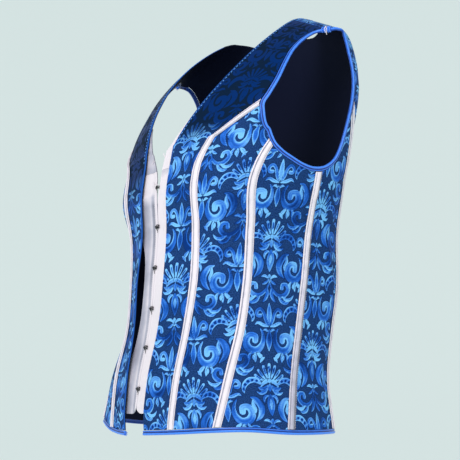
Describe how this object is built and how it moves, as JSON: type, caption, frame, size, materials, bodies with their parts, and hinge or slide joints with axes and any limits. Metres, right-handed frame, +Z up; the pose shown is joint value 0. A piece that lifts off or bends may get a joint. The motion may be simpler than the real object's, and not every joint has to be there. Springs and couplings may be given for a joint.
{
  "type": "corset vest",
  "caption": "Sleeveless boned corset vest of scroll brocade with white casings over its seams, bound armholes and hem, and a white hook-and-eye closure under its open front edges.",
  "frame": {"origin": "midway between the middles of the two shoulder seams, under the cloth, where the wearer's shoulders hold the vest", "axes": "+Z up, along the body; -Y out of the front; +X to the wearer's left"},
  "size_m": [0.4096, 0.2724, 0.5984],
  "materials": {
    "blue_brocade": "woven scroll brocade, satin figures on a dark ground",
    "white_satin": "smooth satin",
    "blue_satin": "glossy bias satin",
    "black_wire": "black enamelled wire"
  },
  "bodies": {
    "root": {"front_centre_L": "blue_brocade", "front_centre_R": "blue_brocade", "front_mid_L": "blue_brocade", "front_mid_R": "blue_brocade", "front_side_L": "blue_brocade", "front_side_R": "blue_brocade", "back_side_L": "blue_brocade", "back_side_R": "blue_brocade", "back_centre": "blue_brocade", "casing_1_L": "white_satin", "casing_2_L": "white_satin", "casing_3_L": "white_satin", "casing_4_L": "white_satin", "casing_1_R": "white_satin", "casing_2_R": "white_satin", "casing_3_R": "white_satin", "casing_4_R": "white_satin", "placket_L": "white_satin", "placket_R": "white_satin", "facing_L": "white_satin", "facing_R": "white_satin", "armhole_binding_L": "blue_satin", "armhole_binding_R": "blue_satin", "hem_binding": "blue_satin", "hook_1": "black_wire", "hook_2": "black_wire", "hook_3": "black_wire", "hook_4": "black_wire", "hook_5": "black_wire", "hook_6": "black_wire", "eye_1": "black_wire", "eye_2": "black_wire", "eye_3": "black_wire", "eye_4": "black_wire", "eye_5": "black_wire", "eye_6": "black_wire"}
  },
  "joints": []
}
